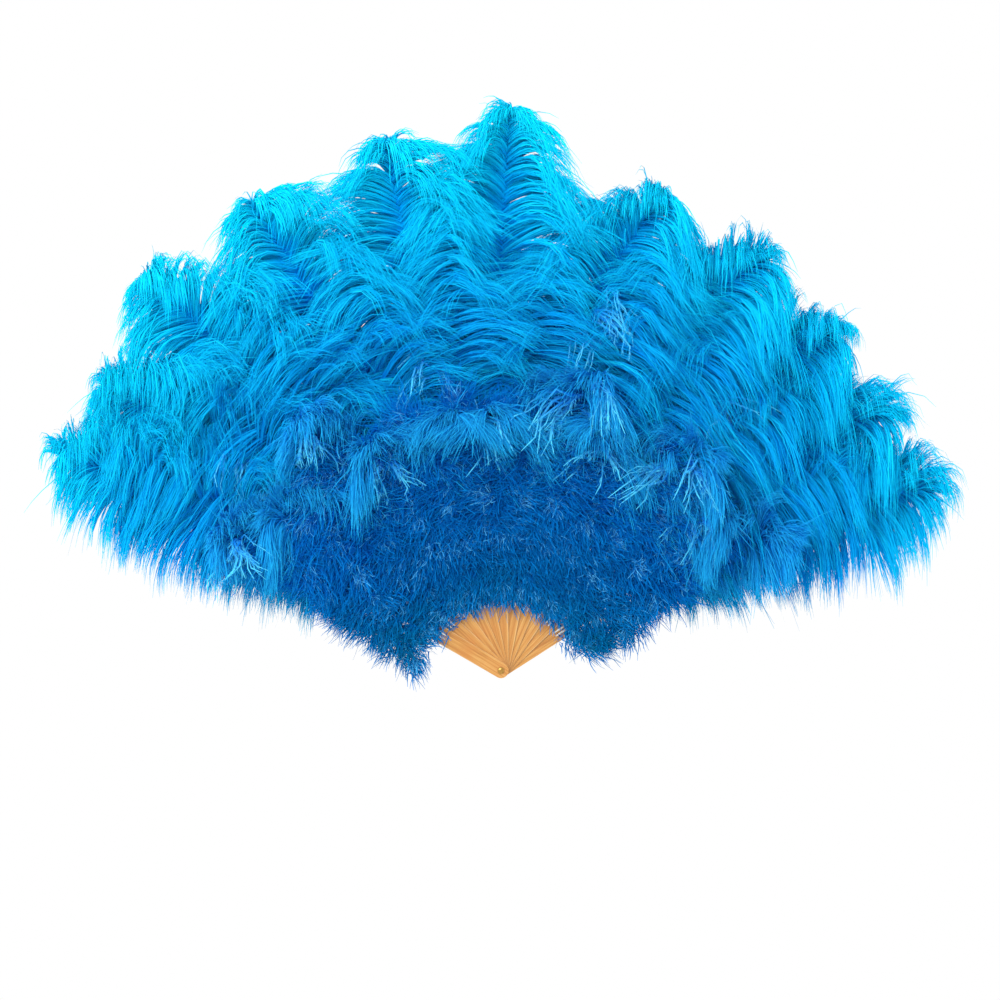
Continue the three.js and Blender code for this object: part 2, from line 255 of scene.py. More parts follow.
# The inner part of every barb is painted a darker, purer blue than its end, as the shade there
INNER_SHADE_BLUE = dye(0, 112, 240)
# Light comes through the thin lowest fringe of the down, which turns it greener
FRINGE_DYE = dye(0, 116, 150)
FRINGE_TOP = 0.14
# Noise runs from 0 to 1 about a half. Above these marks a lock counts as a lighter one that keeps
# its tips' painted highlight, and a barb gets a painted highlight of its own
PALE_LOCK = 0.56
PALE_BARB = 0.6
# How many times the barbs' noise changes over one band
BARB_CHANGES = 180.0


def feather_finish(
    name, tip_light, tip_colour, locks, lock_light, crest=0.0, patches=0.0, rise=2.2
):
    """How strong the painted highlight on the tips is and how steeply it rises, its colour, how
    many locks there are, and how much their tone and painted light and shade differ. crest: how
    strong the painted highlight is where a barb arches over. patches: how much of the tips' painted
    highlight is kept for the lighter locks alone."""
    finish = Finish(name, roughness=0.6, sheen_weight=0.03, sheen_roughness=0.4)
    finish.shader.inputs["Specular IOR Level"].default_value = 0.08
    finish.shader.inputs["Specular Tint"].default_value = dye(40, 190, 255)
    finish.shader.inputs["Sheen Tint"].default_value = dye(60, 200, 255)
    place = finish.place()
    radius = finish.length(place)
    blotches = finish.noise(place, 9.0)
    colour = finish.ramp(radius / DYE_REACH + (blotches - 0.5) * 0.2, DYE_AND_LIGHT_STOPS)
    uv = finish.node("ShaderNodeUVMap", {"uv_map": UV_NAME})
    height = finish.part(uv, "Y") * BANDS
    along = (height.maths("FRACT", height) - BAND_MARGIN) / (1 - 2 * BAND_MARGIN)
    strand = height.maths("FLOOR", height) + finish.part(uv, "X")
    uneven = finish.uneven(strand, BARB_CHANGES)
    lock = finish.uneven(strand, locks / BANDS)
    kept = 1 - (1 - finish.clamp((lock - PALE_LOCK) * 9.0)) * patches
    # Painted highlight on the barbs that the noise picks
    pale = finish.clamp((uneven - PALE_BARB) * 5.0) * 0.4
    from_crest = along - CREST_AT
    # Painted highlight where a barb arches over
    crest_highlight = finish.clamp(1 - from_crest.maths("ABSOLUTE", from_crest) * 2.6) * crest
    # Painted highlight: lighter towards the tips and on picked barbs, with the random tone of barbs
    # and locks added
    light = (along ** rise * tip_light + pale) * kept + crest_highlight
    light = light + (uneven - 0.5) * 0.7 + (lock - 0.5) * lock_light
    inner = finish.clamp(1.5 - 1.5 * radius / DYE_REACH)
    # Painted shade: barbs and locks that the noise picks, partly random tone, and the inner part of
    # a barb close to the rivet are darkened towards the shadow colour
    shade = (0.42 - uneven) * 1.1 + (0.35 - along) * 0.4 * inner + (0.46 - lock) * lock_light
    # Painted shade at the roots of the barbs close to the rivet
    root_shade = finish.clamp((0.13 - along) * 1.6) * inner
    lowest = finish.clamp((FRINGE_TOP - finish.part(place, "Z")) * 9.0)
    colour = finish.mix(lowest * 0.7, colour, FRINGE_DYE)
    # Painted shade: the inner part of a barb turns a darker, purer blue
    colour = finish.mix(finish.clamp((0.62 - along) * 0.8), colour, INNER_SHADE_BLUE)
    # The painted highlight is laid on towards the tip colour
    colour = finish.mix(finish.clamp(light), colour, tip_colour)
    # The painted shade is laid on last
    colour = finish.mix(finish.clamp(finish.clamp(shade) + root_shade), colour, SHADOW_DYE)
    finish.feed(finish.shader.inputs["Base Color"], colour)
    return finish.material


# Each feather finish holds the dye with its painted light and shade
long_dye_and_light = feather_finish("long_plume_dye_and_light", 0.5, dye(24, 222, 255), 90, 0.9, 0.3)
short_dye_and_light = feather_finish("short_plume_dye_and_light", 0.85, dye(40, 196, 252), 60, 1.2, 0.35)
tassel_dye_and_light = feather_finish("tassel_dye_and_light", 1.4, dye(86, 218, 255), 12, 0.3)
down_dye_and_light = feather_finish("marabou_dye_and_light", 0.7, dye(12, 140, 226), 30, 1.7)
# Painted highlight: the hairs' ends are much lighter
hair_dye_and_light = feather_finish(
    "marabou_hair_dye_and_light", 3.0, dye(84, 190, 250), 30, 0.3, patches=1.0, rise=0.8)
print("feather finishes made")

# %% [markdown]
# ## Strips from one grid
# A plume is thousands of soft barbs, and each is a thin strip. Making every strip by itself would
# be slow, so one wide grid is made, every second column of its faces is deleted, and the columns
# left are moved onto the barbs. Each strip then gets its own place in one of the UV map's bands.

# %% Cut a grid into separate strips
def new_piece(name, mesh):
    mesh.polygons.foreach_set("use_smooth", np.ones(len(mesh.polygons), bool))
    piece = bpy.data.objects.new(name, mesh)
    bpy.context.scene.collection.objects.link(piece)
    return piece


def lay_in_bands(mesh, count, steps):
    corners = np.empty(len(mesh.loops), int)
    mesh.loops.foreach_get("vertex_index", corners)
    row, column = np.divmod(corners, 2 * count)
    strand, side = np.divmod(column, 2)
    band = strand * BANDS // count
    first = -(-band * count // BANDS)
    u = (2 * (strand - first) + side) / (2 * math.ceil(count / BANDS))
    v = (band + BAND_MARGIN + (1 - 2 * BAND_MARGIN) * row / (steps - 1)) / BANDS
    mesh.uv_layers[UV_NAME].data.foreach_set("uv", np.stack([u, v], axis=1).ravel())


def strips(name, paths, half_widths, facing):
    """paths: barb, step, xyz. half_widths: barb, step. facing: where each flat side looks."""
    count, steps = paths.shape[:2]
    columns = 2 * count - 1
    bm = bmesh.new()
    bm.loops.layers.uv.new(UV_NAME)
    bmesh.ops.create_grid(bm, x_segments=columns, y_segments=steps - 1, size=1, calc_uvs=True)
    between = [face for place, face in enumerate(bm.faces) if place % columns % 2]
    bmesh.ops.delete(bm, geom=between, context="FACES")
    mesh = bpy.data.meshes.new(name)
    bm.to_mesh(mesh)
    bm.free()
    along = np.gradient(paths, axis=1)
    side = unit(np.cross(along, facing[:, None, :]))
    reach = side * half_widths[..., None]
    corners = np.empty((steps, 2 * count, 3))
    corners[:, 0::2] = (paths - reach).transpose(1, 0, 2)
    corners[:, 1::2] = (paths + reach).transpose(1, 0, 2)
    mesh.vertices.foreach_set("co", corners.ravel())
    lay_in_bands(mesh, count, steps)
    return new_piece(name, mesh)


# %% [markdown]
# ## Shafts as tapered tubes
# A plume's shaft is a round quill that tapers to a thread. A grid is rolled up into a tube: its
# columns go round the shaft, its rows along it, its two long edges are merged and its ends closed.

# %% Roll a grid into a tapered tube
TUBE_SIDES = 7


def tube(name, centres, radii):
    bm = bmesh.new()
    bm.loops.layers.uv.new(UV_NAME)
    rows = len(centres)
    bmesh.ops.create_grid(bm, x_segments=TUBE_SIDES, y_segments=rows - 1, size=1, calc_uvs=True)
    along = unit(np.gradient(centres, axis=0))
    first = unit(np.cross(along, (0, -1, 0)))
    second = np.cross(along, first)
    bm.verts.ensure_lookup_table()
    for row in range(rows):
        for column in range(TUBE_SIDES + 1):
            turn = 2 * math.pi * column / TUBE_SIDES
            spoke = first[row] * math.cos(turn) + second[row] * math.sin(turn)
            bm.verts[row * (TUBE_SIDES + 1) + column].co = centres[row] + spoke * radii[row]
    bmesh.ops.remove_doubles(bm, verts=bm.verts, dist=1e-6)
    bmesh.ops.holes_fill(bm, edges=[edge for edge in bm.edges if edge.is_boundary], sides=0)
    bmesh.ops.recalc_face_normals(bm, faces=bm.faces)
    mesh = bpy.data.meshes.new(name)
    bm.to_mesh(mesh)
    bm.free()
    return new_piece(name, mesh)


# %% [markdown]
# ## Where each stave points
# The frame says where every stave and blade lies, so nothing is measured twice. A stave points from
# the rivet to its own far end, and a plume's tip is the far end of its blade.

# %% Read the staves and blades from the frame
FRONT = np.array((0.0, -1.0, 0.0))
DOWN = np.array((0.0, 0.0, -1.0))
STAVE_COUNT = len(frame["joints"]) + 1


def unit(vectors):
    return vectors / (np.linalg.norm(vectors, axis=-1, keepdims=True) + 1e-12)


def stave_name(layer):
    if layer == 0:
        return "front_guard"
    return "rear_guard" if layer == STAVE_COUNT - 1 else f"stave_{layer + 1:02d}"


def far_end(node, share=0.985):
    mesh = frame["nodes"][node].data
    corners = np.empty(3 * len(mesh.vertices))
    mesh.vertices.foreach_get("co", corners)
    corners = corners.reshape(-1, 3)
    reach = np.hypot(corners[:, 0], corners[:, 2])
    return corners[reach > share * reach.max()].mean(axis=0)


def surface_of(node):
    mesh = frame["nodes"][node].data
    mesh.calc_loop_triangles()
    places = [v.co for v in mesh.vertices]
    return BVHTree.FromPolygons(places, [tuple(t.vertices) for t in mesh.loop_triangles])


def depth_on(surface, x, z):
    """How far back a blade's surface lies at one place of the front view."""
    hit = surface.ray_cast(Vector((x, -1, z)), Vector((0, 1, 0)))[0]
    if hit is None:
        hit = surface.find_nearest(Vector((x, 0, z)))[0]
    return hit.y


def ways_of(turn):
    """The direction that a stave points in, and the one across it in the fan's plane."""
    along = np.array((math.cos(turn), 0, math.sin(turn)))
    return along, np.array((math.sin(turn), 0, -math.cos(turn)))


stave_turns = []
for layer in range(STAVE_COUNT):
    end = far_end(stave_name(layer))
    stave_turns.append(math.atan2(end[2], end[0]))
print("staves point to", [round(math.degrees(turn), 1) for turn in stave_turns], "degrees")

# %% [markdown]
# ## The line of a plume's shaft
# The shaft starts beside its neighbour on the front of a stave, runs up it, and bends a little to
# one side under its own weight. It lies on its blade, so that the plume stays in its own layer of
# the folding stack.

# %% Draw a plume's shaft on its blade
# Distances from the rivet
QUILL_START = 0.105
STAVE_LENGTH = 0.245
QUILLS_MEET = 0.3
# A stave's two quills stand this far beside its middle, one on each side
QUILL_OFFSET = 0.0031
BEND_POWER = 1.4
# The share of the shaft's length from which its tip falls over
SWING_FROM = 0.55
SHAFT_STATIONS = 60


def shaft_line(layer, node, end_share, offset, swing):
    """offset: how far the quill stands beside the stave's middle, clockwise. swing: how far its tip
    falls over, clockwise."""
    tip = far_end(node)
    tip_radius = math.hypot(tip[0], tip[2])
    turn = stave_turns[layer]
    tip_turn = math.atan2(tip[2], tip[0]) - turn
    surface = surface_of(node)
    points = []
    for share in np.linspace(0, 1, SHAFT_STATIONS):
        radius = QUILL_START + share * (end_share * tip_radius - QUILL_START)
        bend = max(0.0, radius - STAVE_LENGTH) / (tip_radius - STAVE_LENGTH)
        angle = turn + tip_turn * bend**BEND_POWER
        apart = offset * np.interp(radius, [STAVE_LENGTH, QUILLS_MEET], [1, 0])
        apart += swing * max(0.0, (share - SWING_FROM) / (1 - SWING_FROM)) ** 2
        x = radius * math.cos(angle) + apart * math.sin(turn)
        z = radius * math.sin(angle) - apart * math.cos(turn)
        points.append((x, depth_on(surface, x, z), z))
    return np.array(points)


# %% [markdown]
# ## How a barb grows
# Each barb leaves the shaft at an angle towards the tip, opens outwards, arches over and hangs:
# the barbs of a level plume hang down in locks, and those that start upwards fall over forwards. At
# the tip they run on past the shaft's end and hook over, so that the plume's head is round. A guide
# is one lock's middle line.

# %% Grow the guides of a plume
# The share of the shaft's length at which the head begins
TIP_FROM = 0.8
# How much longer the barbs grow on the side that a head leans to, for each degree
LEAN_LENGTH = 0.008
# How far round to the front the barbs of a head may stand, in radians
TIP_FORWARDS = 1.1
# How many fewer degrees the barbs that rise open than those that hang
LIFTED_CLOSING = 14
# In a head, locks and eddies are this much weaker
TIP_CALM = 0.7
MOST_DROOP = 0.97


def along_line(line, shares):
    """Places and directions on a line at shares of its length."""
    stations = np.linspace(0, 1, len(line))
    directions = unit(np.gradient(line, axis=0))
    place = np.stack([np.interp(shares, stations, line[:, k]) for k in range(3)], axis=1)
    direction = np.stack([np.interp(shares, stations, directions[:, k]) for k in range(3)], axis=1)
    return place, unit(direction)


def waves(shares, rng):
    """A smooth, uneven number along the shaft, about -1 to 1, that gathers barbs into locks."""
    total = np.zeros(len(shares))
    for cycles in (2.3, 5.1, 9.7, 17.0):
        total += np.sin(2 * math.pi * (shares * cycles + rng.uniform()))
    return total / 2.4


def swirl(places):
    """Smooth eddies, about a hand wide, that lay neighbouring locks the same way."""
    x, z = places[:, 0], places[:, 2]
    turn = 2.2 * np.sin(21 * x + 9 * z + 1) + 2.0 * np.sin(26 * z - 13 * x + 4)
    return np.stack([np.cos(turn), np.zeros(len(x)), np.sin(turn)], axis=1)


def guide_paths(place, direction, side, head, look, lengths, shares, rng):
    """One path for each guide, walked step by step from the shaft."""
    count = len(place)
    outwards = unit(np.cross(direction, FRONT)) * side
    lifted = np.clip(outwards[:, 2], 0, 1)
    raised = np.interp(shares, look["raised"], [0.1, 1])
    near_tip = np.clip((shares - TIP_FROM) / (1 - TIP_FROM), 0, 1) ** 1.5
    forwards = look["forwards"] * raised * rng.uniform(0, 1, count) ** 3
    forwards = (forwards + TIP_FORWARDS * near_tip * rng.uniform(0, 1, count))[:, None]
    outwards = outwards * np.cos(forwards) + FRONT * np.sin(forwards)
    upright = near_tip * rng.uniform(0, 1, count)
    lean, fullness = head[:2]
    lengths = lengths * (1 - look["tip_cut"] * upright) * (1 + LEAN_LENGTH * lean * side * near_tip)
    lengths = lengths * (1 + (fullness - 1) * near_tip)
    start = (look["start_degrees"] + rng.normal(0, 2, count)) * (1 - upright)
    spread = look["lock_degrees"] * waves(shares, rng) * (1 - TIP_CALM * near_tip)
    spread = spread + rng.normal(0, 1.5, count)
    end = look["end_degrees"] - LIFTED_CLOSING * lifted
    end = end * (1 - look["tip_closing"] * upright) + spread
    leaning = lean * side * near_tip
    start, end = np.radians(start + 0.5 * leaning), np.radians(end + leaning)
    curl = look["curl"] * (1 + 0.5 * waves(shares, rng) + 0.1 * rng.normal(0, 1, count))
    curl = (curl + look["tip_curl"] * near_tip) * raised
    droop = look["droop"] * (1 + 0.34 * waves(shares, rng)) + look["tip_droop"] * near_tip
    droop = np.clip(droop, 0, MOST_DROOP)
    steps = look["steps"]
    eddies = look["eddies"] * (1 - TIP_CALM * near_tip)[:, None]
    paths = [place]
    for step in range(1, steps):
        share = step / (steps - 1)
        angle = (start + (end - start) * share**0.8)[:, None]
        heading = direction * np.cos(angle) + outwards * np.sin(angle)
        heading = heading + FRONT * (curl * share)[:, None] + eddies * share * swirl(paths[-1])
        pull = (droop * share ** look["droop_power"])[:, None]
        heading = unit(unit(heading) * (1 - pull) + DOWN * pull)
        paths.append(paths[-1] + heading * (lengths / (steps - 1))[:, None])
    return np.stack(paths, axis=1)


# %% [markdown]
# ## A lock of barbs round each guide
# The barbs of one lock start side by side along the shaft, draw together as they go out, and end at
# different lengths, so the lock's end is feathery and gaps open between the locks. A few barbs
# always stray. Nothing may reach far past the blades, because the fan has to fold.

# %% Spread barbs round the guides
# The barbs of both sides lie over the shaft a little and hide most of it
SHAFT_COVER = 0.007
# How many barbs stray, and how many times as far as the others
STRAY_SHARE = 0.04
STRAY_REACH = 4.0

BOX_LOW, BOX_HIGH = np.array(CAD_BOX)
BOX_MARGIN = 0.03 * (BOX_HIGH - BOX_LOW) + 0.006
# How far past the box feathers may come forwards or back, and the least that each may
DEPTH_SPARE = 0.012
LEAST_DEPTH = 0.004


def barbs_round(guides, roots, look, rng):
    """Every guide's path becomes a lock of barbs, in order along the shaft."""
    count, steps = guides.shape[:2]
    each = look["barbs"]
    share = np.linspace(0, 1, steps)
    total = count * each
    guide = np.repeat(np.arange(count), each)
    reach = rng.uniform(0.7, 1.06, total)
    kept = share[None, :] * reach[:, None] * (steps - 1)
    low = np.clip(kept.astype(int), 0, steps - 2)
    mixed = (kept - low)[..., None]
    rows = guide[:, None]
    paths = guides[rows, low] * (1 - mixed) + guides[rows, low + 1] * mixed
    fade = (1 - look["gather"] * share**1.4)[None, :, None]
    paths += (roots - guides[guide, 0])[:, None, :] * fade
    stray = np.where(rng.uniform(size=(total, 1)) < STRAY_SHARE, STRAY_REACH, 1.0)
    wander = rng.normal(0, look["wander"], (total, 3)) * stray
    phase = rng.uniform(0, 2 * math.pi, total)[:, None]
    sway = np.sin(phase + share[None, :] * 5.0)[..., None]
    sway = sway * rng.normal(0, look["wander"] * 0.5, (total, 1, 3))
    share = share[None, :, None]
    return paths + wander[:, None, :] * share**1.3 + sway * share


def kept_in(paths, middle):
    """Draws places that reach too far forwards or back gently in, and holds the rest in the box."""
    depth = paths[..., 1] - middle
    front = np.minimum(BOX_LOW[1] - DEPTH_SPARE - middle, -LEAST_DEPTH)
    rear = np.maximum(BOX_HIGH[1] + DEPTH_SPARE - middle, LEAST_DEPTH)
    depth = np.where(depth < 0, front * np.tanh(depth / front), rear * np.tanh(depth / rear))
    paths[..., 1] = middle + depth
    return np.clip(paths, BOX_LOW - BOX_MARGIN, BOX_HIGH + BOX_MARGIN)


def plume(name, line, look, hanging, head, rng):
    """The barbs of one plume. hanging: how long those that hang are, from the stave to the tip.
    head: how far the head leans, and how full it is."""
    all_paths, all_faces = [], []
    for side in (-1, 1):
        count = look["guides"]
        start = look["from"]
        even = np.linspace(0, 1, count) ** look["crowd"]
        shares = np.clip(start + (1 - start) * (even + rng.normal(0, 0.3, count) / count), 0, 1)
        place, direction = along_line(line, shares)
        sinking = np.clip(-unit(np.cross(direction, FRONT))[:, 2] * side, 0, 1)
        profile = np.interp((shares - start) / (1 - start), *look["profile"])
        profile *= 1 + sinking * (np.interp(shares, [0.25, 0.55, 1], hanging) - 1)
        uneven = 0.12 * (waves(shares, rng) + sinking * waves(shares * 3, rng))
        lengths = look["length"] * profile * (1 + uneven + rng.normal(0, 0.05, count))
        guides = guide_paths(place, direction, side, head, look, lengths, shares, rng)
        spread = rng.uniform(-0.6, 0.6, count * look["barbs"]) / count * (1 - start)
        roots, ways = along_line(line, np.clip(np.repeat(shares, look["barbs"]) + spread, 0, 1))
        over = rng.uniform(-0.2, 1, (len(roots), 1)) * SHAFT_COVER
        roots = roots - unit(np.cross(ways, FRONT)) * side * over + FRONT * 0.5 * over
        paths = barbs_round(guides, roots, look, rng)
        all_paths.append(kept_in(paths, np.repeat(place[:, 1], look["barbs"])[:, None]))
        all_faces.append(unit(FRONT + rng.normal(0, 0.55, (len(paths), 3))))
    paths = np.concatenate(all_paths)
    share = np.linspace(0, 1, paths.shape[1])
    taper = np.interp(share, [0, 0.5, 1], look["taper"])
    widths = look["half_width"] * taper[None, :] * rng.uniform(0.7, 1.3, (len(paths), 1))
    return strips(name, paths, widths, np.concatenate(all_faces))


# %% [markdown]
# ## Feathers that fold away
# In the real fan, as it closes, its eleven layers come to lie one behind another, and their fluff
# is pressed flat between them. Here each feather piece moves with its stave and gets a mesh of its
# own. The plane across which it would be squashed, through the top of its stave and the feather's
# end, is worked out, but the piece is not squashed.


def settle(piece, layer, material, replaced=()):
    piece.data.materials.append(material)
    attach(piece, stave_name(layer))
    if replaced:
        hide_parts(*replaced)


def nearest(line, radius):
    """The number of the point on a shaft's line that is nearest to a distance from the rivet."""
    return int(np.argmin(np.abs(np.hypot(line[:, 0], line[:, 2]) - radius)))


def press(piece, layer, start, end):
    across = ways_of(stave_turns[layer])[1]
    axis = unit(np.cross(unit(end - start), across))
    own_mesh(piece)


def press_on_line(piece, layer, line):
    press(piece, layer, line[nearest(line, STAVE_LENGTH)], line[-1])


# %% [markdown]
# ## The long plumes
# Eleven long ostrich plumes make the bright outer rim. The blade in the frame gives each its length
# and its bend. The shaft stops short of the blade's end, because the last barbs reach past it.

# %% Grow the long plumes
LONG_LOOK = {
    "from": 0.22, "crowd": 0.9, "guides": 250, "barbs": 12, "steps": 7,
    "length": 0.195, "profile": ([0, 0.12, 0.4, 0.8, 0.94, 1], [0.45, 0.8, 1, 1, 0.82, 0.62]),
    "taper": [1.3, 1, 0.15], "tip_closing": 0.5, "tip_cut": 0.42, "tip_curl": 0.2,
    "start_degrees": 42, "end_degrees": 92, "lock_degrees": 5, "curl": 0.35, "eddies": 0.3,
    "droop": 0.56, "tip_droop": 0.34, "droop_power": 1.6, "forwards": 0.6, "raised": [0.3, 0.6],
    "gather": 0.32, "wander": 0.0045, "half_width": 0.0009,
}
# The shaft of an upright plume ends nearer to its blade's end than that of a level one
UPRIGHT_SHAFT_SHARE = 0.958
LEVEL_SHAFT_CUT = 0.045
# How long the hanging barbs are near the stave, halfway and at the tip
FRONT_HANGING = (0.56, 0.66, 0.7)
REAR_HANGING = (0.62, 0.74, 0.9)
INNER_HANGING = (1.1, 1.15, 0.88)
# Each head: how far it leans over clockwise in degrees, how full it is, how far its shaft's tip
# falls over clockwise in metres, and how much farther out its shaft ends as a share of the blade
HEADS = (
    (10, 1.12, 0.0, 0.006), (16, 0.92, 0.0, -0.01), (16, 1.08, 0.0, 0.012),
    (24, 1.12, 0.006, 0.006), (24, 1.0, 0.008, 0.004), (8, 0.78, 0.004, 0.002),
    (24, 1.06, 0.024, 0.0), (28, 1.25, 0.03, -0.002), (28, 1.16, 0.028, -0.004),
    (24, 1.16, 0.026, -0.006), (0, 1.15, 0.006, -0.002),
)


def hanging_of(layer):
    if layer == 0:
        return FRONT_HANGING
    return REAR_HANGING if layer == STAVE_COUNT - 1 else INNER_HANGING


long_lines = []
for layer in range(STAVE_COUNT):
    rng = np.random.default_rng(100 + layer)
    node = f"long_plume_{layer + 1:02d}"
    end_share = UPRIGHT_SHAFT_SHARE - LEVEL_SHAFT_CUT * abs(math.cos(stave_turns[layer]))
    head = HEADS[layer]
    line = shaft_line(layer, node, end_share + head[3], -QUILL_OFFSET, head[2])
    long_lines.append(line)
    name = f"long_feather_{layer + 1:02d}"
    piece = plume(name, line, LONG_LOOK, hanging_of(layer), head, rng)
    settle(piece, layer, long_dye_and_light, [node])
    press_on_line(piece, layer, line)
print("triangles in a long plume", 2 * len(piece.data.polygons))

# %% [markdown]
# ## The short plumes
# In front of each long plume stands a shorter one. Its tip curls forwards and hangs over the down.

# %% Grow the short plumes
SHORT_LOOK = {
    "from": 0.46, "crowd": 0.9, "guides": 120, "barbs": 12, "steps": 7,
    "length": 0.13, "profile": ([0, 0.12, 0.4, 0.8, 0.95, 1], [0.5, 0.85, 1, 1, 0.9, 0.7]),
    "taper": [1.3, 1, 0.15], "tip_closing": 0.45, "tip_cut": 0.3, "tip_curl": 0.3,
    "start_degrees": 36, "end_degrees": 90, "lock_degrees": 12, "curl": 0.5, "eddies": 0.55,
    "droop": 0.55, "tip_droop": 0.0, "droop_power": 1.5, "forwards": 0.8, "raised": [0.46, 0.75],
    "gather": 0.6, "wander": 0.006, "half_width": 0.0009,
}
SHORT_SHAFT_SHARE = 0.95
# How far the tip of a short plume nods forwards and down, and from which share of its shaft
NOD_DEPTH = 0.06
NOD_DROP = 0.03
NOD_FROM = 0.6
# The same four values as for the long plumes' heads
SHORT_HEADS = (
    (-16, 1.0, 0.0, 0.0), (-34, 1.1, -0.02, -0.05), (26, 0.95, 0.016, 0.0),
    (-40, 1.15, -0.03, -0.1), (34, 1.0, 0.02, -0.02), (-24, 1.2, -0.016, -0.09),
    (44, 1.1, 0.036, 0.0), (-30, 0.95, -0.02, -0.07), (38, 1.15, 0.03, -0.03),
    (30, 1.0, 0.02, -0.08), (10, 1.0, 0.0, 0.0),
)

short_lines = []
for layer in range(STAVE_COUNT):
    rng = np.random.default_rng(300 + layer)
    node = f"short_plume_{layer + 1:02d}"
    head = SHORT_HEADS[layer]
    line = shaft_line(layer, node, SHORT_SHAFT_SHARE + head[3], QUILL_OFFSET, head[2])
    nod = np.clip((np.linspace(0, 1, len(line)) - NOD_FROM) / (1 - NOD_FROM), 0, 1) ** 2
    line[:, 1] -= NOD_DEPTH * nod
    line[:, 2] -= NOD_DROP * nod
    short_lines.append(line)
    name = f"short_feather_{layer + 1:02d}"
    piece = plume(name, line, SHORT_LOOK, hanging_of(layer), head, rng)
    settle(piece, layer, short_dye_and_light, [node])
    press_on_line(piece, layer, line)
print("triangles in a short plume", 2 * len(piece.data.polygons))

# %% [markdown]
# ## The tassels
# The last barbs of a curled plume hang together as a pale tassel. Their own fine fluff clings round
# them, so they look thick and frayed. Some plumes have a full tassel and others only a few barbs.

# %% Hang the tassels
TASSEL_STEPS = 6
# How far in front of the shaft a tassel's barbs may start
TASSEL_LIFT = 0.04
WISPS = 5
FRAYS = 9
BARB_HALF_WIDTH = 0.0016
FRAY_HALF_WIDTH = 0.0005
# Layer, whether it hangs on the long plume, share of the shaft, barbs, longest barb
TASSELS = [
    (0, False, 0.96, 40, 0.12), (2, False, 0.97, 24, 0.09), (3, False, 0.93, 36, 0.12),
    (4, True, 0.62, 24, 0.1), (5, False, 0.96, 24, 0.09), (6, False, 0.98, 56, 0.18),
    (6, True, 0.8, 40, 0.12), (7, False, 0.94, 24, 0.1), (8, False, 0.96, 56, 0.14),
    (8, True, 0.72, 30, 0.12), (9, False, 0.95, 26, 0.1), (1, True, 0.7, 26, 0.1),
]


def tassel_barbs(line, share, count, longest, rng):
    """Barbs in a few wisps. Each leaves the shaft forwards and then falls."""
    wisp = rng.integers(0, WISPS, count)
    apart = np.abs(rng.normal(0, 0.07, WISPS))[wisp] + np.abs(rng.normal(0, 0.012, count))
    place, direction = along_line(line, np.clip(share - apart, 0, 1))
    place = place + FRONT * rng.uniform(0.01, TASSEL_LIFT, (WISPS, 1))[wisp]
    lean = rng.normal(0, 0.65, (WISPS, 3)) * (1, 0.3, 0.2)
    heading = unit(direction * 0.6 + lean[wisp] + rng.normal(0, 0.16, (count, 3)) + FRONT * 0.9)
    fall = unit(DOWN + lean[wisp] * 0.8 + rng.normal(0, 0.12, (count, 3)))
    lengths = rng.uniform(0.35, 1, count) * longest
    path = [place]
    kink = rng.normal(0, 0.14, (TASSEL_STEPS, count, 3))
    kink = kink + rng.normal(0, 0.22, (TASSEL_STEPS, WISPS, 3))[:, wisp]
    for step in range(1, TASSEL_STEPS):
        part = step / (TASSEL_STEPS - 1)
        way = unit(heading * (1 - part) ** 1.6 + fall * (0.15 + part) + kink[step])
        path.append(path[-1] + way * (lengths / (TASSEL_STEPS - 1))[:, None])
    return np.stack(path, axis=1)


def frays(barbs, rng):
    """Short fine hairs along every barb."""
    count = len(barbs)
    owner = np.repeat(np.arange(count), FRAYS)
    at = rng.uniform(0.15, 1, len(owner)) * (TASSEL_STEPS - 1)
    low = np.clip(at.astype(int), 0, TASSEL_STEPS - 2)
    first, second = barbs[owner, low], barbs[owner, low + 1]
    root = first + (second - first) * (at - low)[:, None]
    way = unit(unit(second - first) * 0.8 + rng.normal(0, 0.6, (len(owner), 3)))
    reach = rng.uniform(0.005, 0.013, len(owner))[:, None, None]
    part = np.linspace(0, 1, TASSEL_STEPS)[None, :, None]
    return root[:, None, :] + way[:, None, :] * reach * part + DOWN * reach * part**2 * 0.5


for number, (layer, on_long, share, count, longest) in enumerate(TASSELS):
    rng = np.random.default_rng(700 + number)
    line = (long_lines if on_long else short_lines)[layer]
    barbs = tassel_barbs(line, share, count, longest, rng)
    paths = np.concatenate([barbs, frays(barbs, rng)])
    paths = kept_in(paths, paths[:, :1, 1])
    taper = 1 - 0.75 * np.linspace(0, 1, TASSEL_STEPS) ** 3
    base = np.where(np.arange(len(paths)) < count, BARB_HALF_WIDTH, FRAY_HALF_WIDTH)
    widths = base[:, None] * taper[None, :] * rng.uniform(0.6, 1.2, (len(paths), 1))
    facing = unit(FRONT + rng.normal(0, 0.5, (len(paths), 3)))
    piece = strips(f"tassel_{number + 1:02d}", paths, widths, facing)
    settle(piece, layer, tassel_dye_and_light)
    press_on_line(piece, layer, line)

# %% [markdown]
# ## The marabou
# Marabou is down: each small feather is a burst of soft strands. Dozens of bursts cover the tops of
# the staves, and gravity lays their strands outwards and down, like fur on a dome. They stand out
# farthest in front of the plumes at the dome's outer edge.

# %% Scatter the bursts of down
DOWN_TUFTS = 36
# Distances from the rivet
DOWN_FROM = 0.124
DOWN_TO = 0.44
# The strands are laid away from here
DOWN_HEART = np.array((0.0, 0.0, 0.26))
# Steps of this share of the width scatter the bursts evenly
GOLDEN_SHARE = 0.618034
DOME_DEPTH = 0.042


